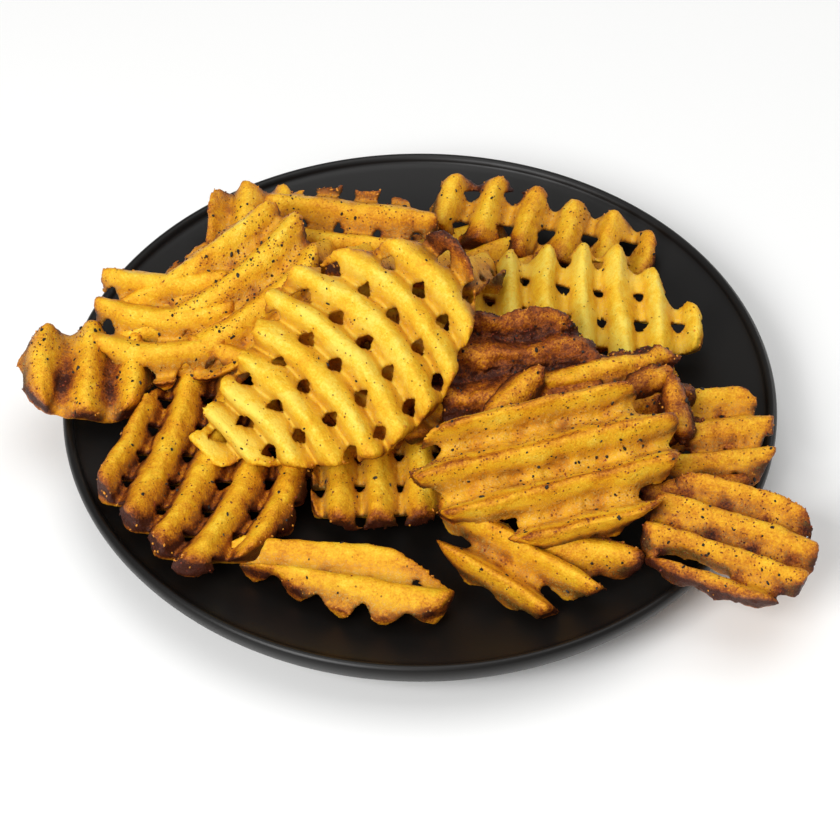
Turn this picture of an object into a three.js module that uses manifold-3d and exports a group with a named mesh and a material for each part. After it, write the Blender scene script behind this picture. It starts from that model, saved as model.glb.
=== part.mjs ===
// A portion of seasoned waffle fries heaped on a round black plate.
// Millimetres, +Z up. The origin is the middle of the plate's foot, where it stands on the table.

import * as THREE from 'three';
import { mergeVertices } from 'three/addons/utils/BufferGeometryUtils.js';
import Module from 'manifold-3d';

const wasm = await Module();
wasm.setup();

// Plate: a shallow round dish with a small rolled rim and a flat foot
const rimRadius = 95;
const rimTop = 19.2;
const wellRadius = 91.8;
const wellFloor = 7;
const wellRise = 10;
const footRadius = 52;
const footHeight = 1.8;
const plateSides = 64;
const wellRings = 4;

// What the food keeps clear of the plate
const clearance = 0.35;

// Waffle cut: ridges along a fry on its upper face, and across it on its lower face
const ridgePitch = 10.3;
const ridgeCrest = 4.6;
const valleyDepth = -0.6;
const slabDepth = 9;
const ridgeStep = 18;
const outlineSteps = 5;
const slotSides = 12;

// Core: the packed middle of the heap, out of sight under the fries
const core = { middle: [-5, -2, 8], size: [46, 30, 23], foot: 4, around: 12, upward: 8 };

// Every fry starts from these values.
// length and width are its size, squareness its outline, from round (2) to nearly square (4).
// at, turn, lean and facing place it: turned about +Z, then tilted so that its face looks to facing.
// pitch, shift and valley describe the ridges of each face, and skew turns the lower ones;
// a fry whose lower face is out of sight has a plain one, at the ridges' mean depth.
// baseDepth raises the lower face's ridges, or lowers them where it is negative.
// arch, cup, twist and droop bend it; sweep, bow, gather and fan bend its ridges within its own plane.
const plainFry = {
  turn: 0, lean: 0, facing: -90, squareness: 2.6, offset: [0, 0], trims: [], slots: [],
  topPitch: ridgePitch, basePitch: ridgePitch, topShift: 0, baseShift: 0, skew: 0,
  crest: ridgeCrest, valley: valleyDepth, baseDepth: 0, plainBase: false,
  arch: 0, cup: 0, twist: 0, droop: 0, droopFrom: 2, sweep: 0, bow: 0, gather: 0, fan: 0,
};

// Fries that show, from the top of the heap down
const shownFries = [
  { name: 'crown', at: [-14.4, -8.6, 44], turn: -49, lean: 29, facing: -97, length: 53, width: 91,
    offset: [-0.5, -10.5], squareness: 2.5, topPitch: 9.9, basePitch: 10.4, topShift: 0.5, baseShift: 0.5,
    skew: -1, arch: -0.003, cup: 0.0005, sweep: -0.0075, bow: -0.0047, gather: 0.0037, droop: 0.0062,
    valley: -0.85, trims: [[205, 21], [-24, 25.5], [140, 32]] },
  { name: 'leftShoulder', plainBase: true, at: [-50.5, 17.7, 35.5], turn: 34, lean: 24, facing: -110,
    length: 57, width: 38, offset: [-1.5, -1], topPitch: 10.4, basePitch: 10, topShift: 0.1, arch: -0.009,
    cup: -0.004, sweep: 0.009, valley: 0.3 },
  { name: 'leftLadder', at: [-68, 11.7, 30], turn: -3, lean: 20, facing: -100, length: 38, width: 34,
    squareness: 3, topShift: 0.1, baseShift: 0.1, valley: -0.7 },
  { name: 'leftTip', plainBase: true, at: [-86.8, -0.5, 25], turn: 90, lean: 12, facing: -35, length: 26,
    width: 34, squareness: 2.5, topPitch: 12.2, basePitch: 11.8, topShift: 0.1, cup: 0.006, crest: 5.2,
    valley: 0.8 },
  { name: 'frontLeft', at: [-56.4, -35.6, 20.3], turn: 74, lean: 6, facing: 30, length: 71, width: 51,
    offset: [3, -1], squareness: 2.3, topPitch: 10.9, basePitch: 9.64, baseShift: 0.5, skew: 21.5,
    arch: 0.004, cup: 0.0023, twist: -0.0015, sweep: 0.0033, bow: 0.0015, crest: 4.4, valley: -0.95,
    trims: [[150, 26]] },
  { name: 'backStub', plainBase: true, at: [-46.1, 54.1, 26], turn: 86, lean: 18, facing: -95, length: 26,
    width: 26, squareness: 3.5, topPitch: 10.5, basePitch: 10.5, topShift: 0.25, valley: 0.1 },
  { name: 'backStrip', plainBase: true, at: [-19.4, 49.2, 32], turn: -8, lean: 16, facing: -90,
    length: 48, width: 22, squareness: 3, topPitch: 10.5, basePitch: 10.5, topShift: 0.3, baseShift: 0.3,
    valley: -0.3 },
  { name: 'backRight', at: [39.3, 57.5, 19.5], turn: 71, lean: 16, facing: -90, length: 22, width: 66,
    offset: [1, 5], squareness: 4, topPitch: 11.7, basePitch: 10.9, topShift: -0.19, baseShift: -0.485,
    skew: 10.4, cup: 0.0042, twist: 0.0014, bow: -0.0022, valley: -0.9 },
  { name: 'paleRight', at: [50.9, 19.5, 23], turn: 90, lean: 12, facing: -87, length: 46, width: 64,
    offset: [0.5, 6], squareness: 2.3, topPitch: 10.1, basePitch: 9.2, topShift: -0.33, baseShift: -0.513,
    skew: -7, cup: 0.0028, bow: 0.0016, crest: 5.2, valley: -0.4, baseDepth: -0.6, trims: [[-50, 24]] },
  { name: 'darkMiddle', plainBase: true, at: [24.7, -8.7, 33], turn: 4, lean: 22, facing: -90, length: 46,
    width: 32, topShift: 0.4, valley: 0.5 },
  { name: 'darkRight', plainBase: true, at: [47.5, -20.5, 29.5], turn: 16, lean: 20, facing: -85,
    length: 46, width: 36, topPitch: 9.6, topShift: 0.4, valley: 0.5, arch: -0.012 },
  { name: 'broadFront', plainBase: true, at: [29.9, -40.5, 37.6], turn: 15, lean: 28, facing: -85,
    length: 70, width: 40, offset: [0, -5], squareness: 2.5, topPitch: 10.8, basePitch: 10.6, skew: -20,
    crest: 5.6, valley: 0.7 },
  { name: 'rightEdge', plainBase: true, at: [73.8, -25, 24.5], turn: 6, lean: 3, facing: -90, length: 35,
    width: 32, offset: [0, 1.5], squareness: 2.8, topShift: 0.2, valley: 0.3, trims: [[42, 17]] },
  { name: 'darkUnder', plainBase: true, at: [70, -43, 20.5], turn: 10, lean: 8, facing: -90, length: 28,
    width: 17, topShift: 0.3, valley: 0.6 },
  { name: 'frontRight', plainBase: true, at: [77.4, -59.5, 24], turn: -20, lean: 2, facing: -90,
    length: 46, width: 36, offset: [0, 0.5], squareness: 3, topShift: 0.5, valley: 0.5,
    slots: [{ middle: [-7, -10.3], length: 20, width: 5 }], trims: [[48, 22]] },
  { name: 'frontStrip', plainBase: true, at: [-19.4, -64.1, 18], turn: -10, lean: 6, facing: 90,
    length: 60, width: 23, topPitch: 11, basePitch: 11.6, topShift: 0.5, baseShift: 0.1, valley: 0.1,
    fan: 0.009, trims: [[52, 20]] },
  { name: 'frontWedge', plainBase: true, at: [28.5, -60.5, 23], turn: -34, lean: 20, facing: -105,
    length: 50, width: 35, offset: [-2, 2], squareness: 2.1, topPitch: 11, basePitch: 11.4, crest: 5.6,
    valley: 0.8 },
  { name: 'rearWedge', plainBase: true, at: [40.5, -61, 22], turn: -12, lean: 20, facing: -95, length: 34,
    width: 17, squareness: 2, valley: 0.6 },
  { name: 'paleMiddle', at: [-10.3, -31.7, 15.5], turn: 92, lean: 2, facing: -90, length: 32, width: 36,
    offset: [1.5, 0], squareness: 3, baseShift: -0.31, valley: -0.8 },
];

// Fries behind and between those, which carry them
const innerFries = [
  { name: 'backSlope', at: [-6, 33, 32], turn: 70, lean: 36, facing: 82, length: 40, width: 58 },
  { name: 'backLeft', at: [-42, 28, 20], turn: 10, lean: 4, facing: 90, length: 56, width: 42 },
  { name: 'bedRight', at: [28, 8, 17], turn: -30, lean: 5, facing: 0, length: 58, width: 46 },
  { name: 'backBed', at: [10, 47, 17], turn: 30, lean: 4, facing: 90, length: 44, width: 36 },
].map((fry) => ({ valley: 0.6, plainBase: true, ...fry }));

function toRadians(degrees) {
  return THREE.MathUtils.degToRad(degrees);
}

function wellHeight(radius) {
  return wellFloor + wellRise * (radius / wellRadius) ** 3;
}

// From the middle of the foot, out under the plate, over the rim and back across the well
function plateProfile() {
  const profile = [
    [0, 0], [footRadius, 0], [footRadius + 0.8, footHeight],
    [72, 2.8], [82, 4.4], [88.5, 7.4], [92.5, 11.2], [94.4, 14.6], [rimRadius, 17],
    [rimRadius - 0.3, 18.4], [rimRadius - 1.4, rimTop], [rimRadius - 2.6, 18.5],
  ];
  for (let ring = wellRings; ring >= 0; ring -= 1) {
    const radius = wellRadius * ring / wellRings;
    profile.push([radius, wellHeight(radius)]);
  }
  return profile.map(([radius, height]) => new THREE.Vector2(radius, height));
}

// Each point of a profile is moved out along the average normal of its two sides
function grownProfile(profile, growth) {
  return profile.map((point, index) => {
    const before = profile[Math.max(index - 1, 0)];
    const after = profile[Math.min(index + 1, profile.length - 1)];
    const along = after.clone().sub(before).normalize();
    const radius = point.x === 0 ? 0 : point.x + along.y * growth;
    return new THREE.Vector2(radius, point.y - along.x * growth);
  });
}

function moveVertices(geometry, place) {
  const positions = geometry.attributes.position;
  const point = new THREE.Vector3();
  for (let index = 0; index < positions.count; index += 1) {
    point.fromBufferAttribute(positions, index);
    place(point);
    positions.setXYZ(index, point.x, point.y, point.z);
  }
  return geometry;
}

function toSolid(geometry) {
  geometry.deleteAttribute('normal');
  geometry.deleteAttribute('uv');
  const merged = mergeVertices(geometry, 1e-4);
  return new wasm.Manifold(new wasm.Mesh({
    numProp: 3,
    vertProperties: new Float32Array(merged.attributes.position.array),
    triVerts: new Uint32Array(merged.index.array),
  }));
}

function toGeometry(solid) {
  const mesh = solid.getMesh();
  const geometry = new THREE.BufferGeometry();
  geometry.setAttribute('position', new THREE.BufferAttribute(mesh.vertProperties, mesh.numProp));
  geometry.setIndex(new THREE.BufferAttribute(mesh.triVerts, 1));
  geometry.computeVertexNormals();
  return geometry;
}

// A flat fry's point (x along, y across, z out of its middle surface) goes to its bent place
function bend(fry, point) {
  const { x, y, z: height } = point;
  const past = Math.max(0, -y - fry.droopFrom);
  const rise = fry.arch * x * x / 2 + fry.cup * y * y / 2 + fry.twist * x * y - fry.droop * past * past;
  const slopeX = fry.arch * x + fry.twist * y;
  const slopeY = fry.cup * y + fry.twist * x + 2 * fry.droop * past;
  const out = height / Math.hypot(slopeX, slopeY, 1);
  point.x = x + fry.bow * y * y - slopeX * out;
  point.y = y * (1 + fry.fan * x) + fry.sweep * x * x + fry.gather * Math.min(y, 0) ** 2 - slopeY * out;
  point.z = rise + out;
}

// Half of the cut: a slab whose upper or lower face is folded into ridges that run across `heading`
function ridgedSlab(fry, side) {
  const upper = side > 0;
  const pitch = upper ? fry.topPitch : fry.basePitch;
  const shift = (upper ? fry.topShift : fry.baseShift) * pitch;
  const heading = toRadians(upper ? 90 : fry.skew);
  const reach = Math.hypot(fry.length, fry.width) / 2 + Math.hypot(...fry.offset);
  const folds = Math.ceil(reach / pitch) * 2 + 2;
  const steps = Math.ceil(2 * reach / ridgeStep);
  const slab = new THREE.BoxGeometry(folds * pitch, 2 * reach, 2, 2 * folds, steps, 1);
  return toSolid(moveVertices(slab, (point) => {
    const fold = Math.round(2 * point.x / pitch);
    const ridged = fold % 2 === 0 ? fry.crest : fry.valley;
    const mean = (fry.crest + fry.valley) / 2;
    const height = upper ? ridged : (fry.plainBase ? mean : ridged) + fry.baseDepth;
    const across = point.x + shift;
    const along = point.y;
    const folded = point.z * side > 0;
    point.x = across * Math.cos(heading) - along * Math.sin(heading);
    point.y = across * Math.sin(heading) + along * Math.cos(heading);
    point.z = side * (folded ? height : -slabDepth);
    bend(fry, point);
  }));
}

// How far the outline is from the fry's own middle at an angle
function outlineReach(fry, angle) {
  const u = Math.abs(Math.cos(angle)) / (fry.length / 2);
  const v = Math.abs(Math.sin(angle)) / (fry.width / 2);
  let reach = (u ** fry.squareness + v ** fry.squareness) ** (-1 / fry.squareness);
  for (const [heading, distance] of fry.trims) {
    const slant = Math.cos(angle - toRadians(heading));
    if (slant > 0) {
      reach = Math.min(reach, distance / slant);
    }
  }
  return reach;
}

function outlineBlock(fry) {
  const block = new THREE.BoxGeometry(2, 2, 2 * slabDepth, outlineSteps, outlineSteps, 1);
  return toSolid(moveVertices(block, (point) => {
    const ring = Math.max(Math.abs(point.x), Math.abs(point.y));
    const angle = Math.atan2(point.y * fry.width, point.x * fry.length);
    const reach = ring * outlineReach(fry, angle);
    point.x = fry.offset[0] + reach * Math.cos(angle);
    point.y = fry.offset[1] + reach * Math.sin(angle);
    bend(fry, point);
  }));
}

function slotCutter(fry, slot) {
  const cutter = new THREE.CylinderGeometry(1, 1, 2 * slabDepth, slotSides);
  cutter.rotateX(Math.PI / 2);
  return toSolid(moveVertices(cutter, (point) => {
    point.x = slot.middle[0] + point.x * slot.length / 2;
    point.y = slot.middle[1] + point.y * slot.width / 2;
    bend(fry, point);
  }));
}

function fryPlace(fry) {
  const facing = toRadians(fry.facing);
  const hinge = new THREE.Vector3(-Math.sin(facing), Math.cos(facing), 0);
  const spin = new THREE.Matrix4().makeRotationZ(toRadians(fry.turn));
  const tilt = new THREE.Matrix4().makeRotationAxis(hinge, toRadians(fry.lean));
  return tilt.multiply(spin).setPosition(...fry.at);
}

function waffleFry(values) {
  const fry = { ...plainFry, ...values };
  let solid = ridgedSlab(fry, 1).intersect(ridgedSlab(fry, -1)).intersect(outlineBlock(fry));
  for (const slot of fry.slots) {
    solid = solid.subtract(slotCutter(fry, slot));
  }
  return toSolid(toGeometry(solid).applyMatrix4(fryPlace(fry)));
}

function heapCore() {
  const dome = new THREE.SphereGeometry(1, core.around, core.upward);
  dome.rotateX(Math.PI / 2);
  dome.scale(...core.size);
  dome.translate(...core.middle);
  return toSolid(moveVertices(dome, (point) => {
    point.z = Math.max(point.z, core.foot);
  }));
}

// The largest closed skin: loose scraps are dropped and sealed hollows are filled
function largestPiece(solid) {
  const pieces = solid.decompose();
  return pieces.reduce((best, piece) => (piece.volume() > best.volume() ? piece : best));
}

// A profile turned about +Z
function turned(profile) {
  const lathe = new THREE.LatheGeometry(profile, plateSides);
  return lathe.rotateX(Math.PI / 2);
}

function friesHeap(profile) {
  const plateRoom = toSolid(turned(grownProfile(profile, clearance)));
  const heap = [...shownFries, ...innerFries]
    .map(waffleFry)
    .reduce((joined, fry) => joined.add(fry), heapCore());
  return largestPiece(heap.subtract(plateRoom));
}

function namedMesh(name, geometry, color, roughness) {
  const material = new THREE.MeshStandardMaterial({ color, roughness, metalness: 0 });
  const mesh = new THREE.Mesh(geometry, material);
  mesh.name = name;
  return mesh;
}

const profile = plateProfile();
const plate = namedMesh('plate', turned(profile), 0x1c1c1e, 0.45);
const fries = namedMesh('waffle_fries', toGeometry(friesHeap(profile)), 0xd9a23a, 0.75);

const group = new THREE.Group();
group.add(plate, fries);

export default group;
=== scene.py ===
# A portion of seasoned waffle fries heaped on a round black plate.
import math

import bpy
import numpy as np
from mathutils import Matrix, Vector


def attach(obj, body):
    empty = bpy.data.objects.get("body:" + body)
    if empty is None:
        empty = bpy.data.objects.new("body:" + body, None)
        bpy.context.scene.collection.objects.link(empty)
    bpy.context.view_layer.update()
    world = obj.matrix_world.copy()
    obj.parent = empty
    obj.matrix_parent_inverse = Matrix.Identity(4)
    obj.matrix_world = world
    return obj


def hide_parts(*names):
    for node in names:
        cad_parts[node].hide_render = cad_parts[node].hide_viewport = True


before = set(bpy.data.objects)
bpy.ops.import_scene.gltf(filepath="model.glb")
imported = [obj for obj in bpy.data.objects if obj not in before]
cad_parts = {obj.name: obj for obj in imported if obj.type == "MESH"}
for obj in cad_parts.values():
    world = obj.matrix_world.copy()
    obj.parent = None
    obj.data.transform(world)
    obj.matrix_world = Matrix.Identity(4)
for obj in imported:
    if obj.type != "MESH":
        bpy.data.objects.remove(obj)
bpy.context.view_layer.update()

mm = 0.001


# Adds a node with its settings, links or plain values, and gives its first output
def addNode(tree, kind, settings=None, links=None):
    node = tree.nodes.new(kind)
    for name, value in (settings or {}).items():
        setattr(node, name, value)
    for key, source in (links or {}).items():
        if isinstance(source, bpy.types.NodeSocket):
            tree.links.new(source, node.inputs[key])
        else:
            node.inputs[key].default_value = source
    return node.outputs[0] if node.outputs else None


def linearColor(hexColor):
    channels = [int(hexColor[i:i + 2], 16) / 255 for i in (1, 3, 5)]
    linear = [c / 12.92 if c <= 0.04045 else ((c + 0.055) / 1.055) ** 2.4 for c in channels]
    return (*linear, 1.0)


def newObject(name, mesh):
    piece = bpy.data.objects.new(name, mesh)
    bpy.context.scene.collection.objects.link(piece)
    return piece


# The photo's camera, from the plate's ellipse and the spread of its sides
camera = {
    "distance": 650 * mm,
    "elevation": 47.07,
    "lookAt": (0.0, -4.3 * mm, 10 * mm),
    "focalPixels": 2425,
    "photoPixels": 840,
    "sensor": 36,
}


def makeCamera():
    lens = bpy.data.cameras.new("camera")
    lens.sensor_width = camera["sensor"]
    lens.lens = camera["focalPixels"] / camera["photoPixels"] * camera["sensor"]
    eye = newObject("camera", lens)
    rise = math.radians(camera["elevation"])
    back = Vector((0, -math.cos(rise), math.sin(rise)))
    eye.location = Vector(camera["lookAt"]) + back * camera["distance"]
    eye.rotation_euler = back.to_track_quat("Z", "Y").to_euler()
    bpy.context.scene.camera = eye


# Soft studio light: a large box in front on the left, a softer one above and a pale room
studio = {
    "room": "#FFFFFF", "roomStrength": 0.28,
    "floor": "#F9F9F8", "floorSize": 6.0, "floorRoughness": 0.9,
    "boxes": [
        {"name": "keyBox", "at": (-0.5, -0.75, 0.8), "size": 0.5, "power": 11.6},
        {"name": "topBox", "at": (0.1, 0.0, 1.1), "size": 0.8, "power": 4.5},
        {"name": "backBox", "at": (0.7, 0.8, 0.35), "size": 0.5, "power": 2.0},
    ],
}


def makeStudio():
    world = bpy.data.worlds.new("studioRoom")
    world.use_nodes = True
    sky = world.node_tree.nodes["Background"]
    sky.inputs["Color"].default_value = linearColor(studio["room"])
    sky.inputs["Strength"].default_value = studio["roomStrength"]
    bpy.context.scene.world = world
    bpy.context.scene.view_settings.view_transform = "Standard"
    for box in studio["boxes"]:
        light = bpy.data.lights.new(box["name"], "AREA")
        light.size = box["size"]
        light.energy = box["power"]
        lamp = newObject(box["name"], light)
        lamp.location = box["at"]
        lamp.rotation_euler = Vector(box["at"]).to_track_quat("Z", "Y").to_euler()
    half = studio["floorSize"] / 2
    mesh = bpy.data.meshes.new("floor")
    corners = [(-half, -half, 0), (half, -half, 0), (half, half, 0), (-half, half, 0)]
    mesh.from_pydata(corners, [], [(0, 1, 2, 3)])
    floor = newObject("floor", mesh)
    paper = bpy.data.materials.new("paleStudioPaper")
    paper.use_nodes = True
    shader = paper.node_tree.nodes["Principled BSDF"]
    shader.inputs["Base Color"].default_value = linearColor(studio["floor"])
    shader.inputs["Roughness"].default_value = studio["floorRoughness"]
    mesh.materials.append(paper)


# Stoneware plate with a satin black glaze, turned from one profile in millimetres
plate = {
    "rimRadius": 95, "rimTop": 19.2, "wellRadius": 91.8, "wellFloor": 7, "wellRise": 10,
    "footRadius": 52, "footHeight": 1.8,
    "wellRings": 24, "smoothing": 3, "around": 288,
}


def wellHeight(radius):
    return plate["wellFloor"] + plate["wellRise"] * (radius / plate["wellRadius"]) ** 3


def plateProfile():
    foot, rim = plate["footRadius"], plate["rimRadius"]
    outside = [(0, 0), (foot - 4, 0), (foot, 0), (foot + 0.8, plate["footHeight"]), (62, 2.2),
               (72, 2.8), (82, 4.4), (88.5, 7.4), (92.5, 11.2), (94.4, 14.6), (rim, 17),
               (rim - 0.3, 18.4), (rim - 1.4, plate["rimTop"]), (rim - 2.6, 18.5)]
    rings = [plate["wellRadius"] * k / plate["wellRings"] for k in range(plate["wellRings"], -1, -1)]
    profile = outside + [(r, wellHeight(r)) for r in rings]
    for _ in range(plate["smoothing"]):    # corner cutting rounds the rim and the foot
        rounded = [profile[0]]
        for (r0, z0), (r1, z1) in zip(profile[:-1], profile[1:]):
            rounded.append((r0 * 0.75 + r1 * 0.25, z0 * 0.75 + z1 * 0.25))
            rounded.append((r0 * 0.25 + r1 * 0.75, z0 * 0.25 + z1 * 0.75))
        profile = rounded + [profile[-1]]
    return profile


def makePlate():
    profile = plateProfile()
    around = plate["around"]
    points, faces = [], []
    for radius, height in profile[1:-1]:
        for k in range(around):
            angle = 2 * math.pi * k / around
            points.append((radius * math.cos(angle) * mm, radius * math.sin(angle) * mm, height * mm))
    rings = len(profile) - 2
    for ring in range(rings - 1):
        for k in range(around):
            a, b = ring * around + k, ring * around + (k + 1) % around
            faces.append((a, b, b + around, a + around))
    under, over = len(points), len(points) + 1
    points += [(0, 0, profile[0][1] * mm), (0, 0, profile[-1][1] * mm)]
    last = (rings - 1) * around
    for k in range(around):
        nextOne = (k + 1) % around
        faces.append((under, nextOne, k))
        faces.append((over, last + k, last + nextOne))
    mesh = bpy.data.meshes.new("black_plate")
    mesh.from_pydata(points, [], faces)
    mesh.shade_smooth()
    piece = newObject("black_plate", mesh)
    mesh.materials.append(satinBlackGlaze())
    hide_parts("plate")
    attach(piece, "root")


# Satin black stoneware glaze: nearly black, faintly brown in clouds of 55 mm, dulled by a fine grain
# of 0.7 mm
blackGlaze = {
    "black": "#0C0C0D", "brownish": "#14110E", "cloudsPerMetre": 18, "grainPerMetre": 1400,
    "glossy": 0.34, "dull": 0.48, "bumpDepth": 0.05 * mm, "bumpStrength": 0.25,
}


def satinBlackGlaze():
    glaze = bpy.data.materials.new("satinBlackGlaze")
    glaze.use_nodes = True
    tree = glaze.node_tree
    shader = tree.nodes["Principled BSDF"]
    shader.inputs["IOR"].default_value = 1.5
    shader.inputs["Specular IOR Level"].default_value = 0.32
    where = addNode(tree, "ShaderNodeTexCoord").node.outputs["Object"]
    clouds = addNode(tree, "ShaderNodeTexNoise", {}, {
        "Vector": where, "Scale": blackGlaze["cloudsPerMetre"], "Detail": 4})
    grain = addNode(tree, "ShaderNodeTexNoise", {}, {
        "Vector": where, "Scale": blackGlaze["grainPerMetre"], "Detail": 2})
    tint = addNode(tree, "ShaderNodeMix", {"data_type": "RGBA"}, {
        "Factor": clouds, 6: linearColor(blackGlaze["black"]),
        7: linearColor(blackGlaze["brownish"])}).node.outputs[2]
    tree.links.new(tint, shader.inputs["Base Color"])
    rough = addNode(tree, "ShaderNodeMapRange", {}, {
        "Value": clouds, "To Min": blackGlaze["glossy"], "To Max": blackGlaze["dull"]})
    tree.links.new(rough, shader.inputs["Roughness"])
    bump = addNode(tree, "ShaderNodeBump", {}, {
        "Height": grain, "Strength": blackGlaze["bumpStrength"], "Distance": blackGlaze["bumpDepth"]})
    tree.links.new(bump, shader.inputs["Normal"])
    return glaze


# One waffle fry, in millimetres and degrees. The upper ridges run along it, the lower ones across.
# Its outline is a rounded rectangle about the offset, with up to three straight trims, each
# (angle, distance from the offset), and at most one open slot (x, y, length, width).
# The pitches, shifts and skew place its ridges, crest and valley are their heights. fullness is how
# fat they are: above 1 they are thin, with broad valleys. baseDepth raises the lower face's ridges,
# baseRelief is how strong they are, and pit how far the upper valleys sink between them. Within
# edgeBand of the outline the valleys sink by up to edgeDrop more.
# arch, cup, twist and droop bend it. sweep, bow, gather and fan bend its ridges in its own plane.
# cell is how fine its mesh is, and wobble, lump and crumb are how uneven its cut and crust are.
# tone is how brown it is fried, from 0 pale to 1 burnt. pitShade paints shade into the pits, crestShade
# paints shade on the far side of the crests, and reliefShade paints the crests paler and the hollows
# darker as painted light and shade. spice is how much paprika lies on it, and scorches are its burnt
# spots, each (x, y, radius, strength) on the flat cut.
plainFry = {
    "turn": 0, "lean": 0, "facing": -90, "squareness": 2.6, "offset": (0, 0), "trims": [], "slots": [],
    "topPitch": 10.3, "basePitch": 10.3, "topShift": 0, "baseShift": 0, "skew": 0,
    "crest": 4.6, "valley": -0.6, "fullness": 0.72, "baseDepth": 0, "baseRelief": 1, "pit": 0,
    "edgeDrop": 2.2, "edgeBand": 6.0,
    "arch": 0, "cup": 0, "twist": 0, "droop": 0, "droopFrom": 2, "sweep": 0, "bow": 0, "gather": 0, "fan": 0,
    "cell": 0.6, "wobble": 0.6, "lump": 0.9, "crumb": 0.45,
    "tone": 0.4, "pitShade": 0.14, "crestShade": 0, "reliefShade": 0.24, "spice": 0.5, "scorches": [],
    "seasoned": True,
}

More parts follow.
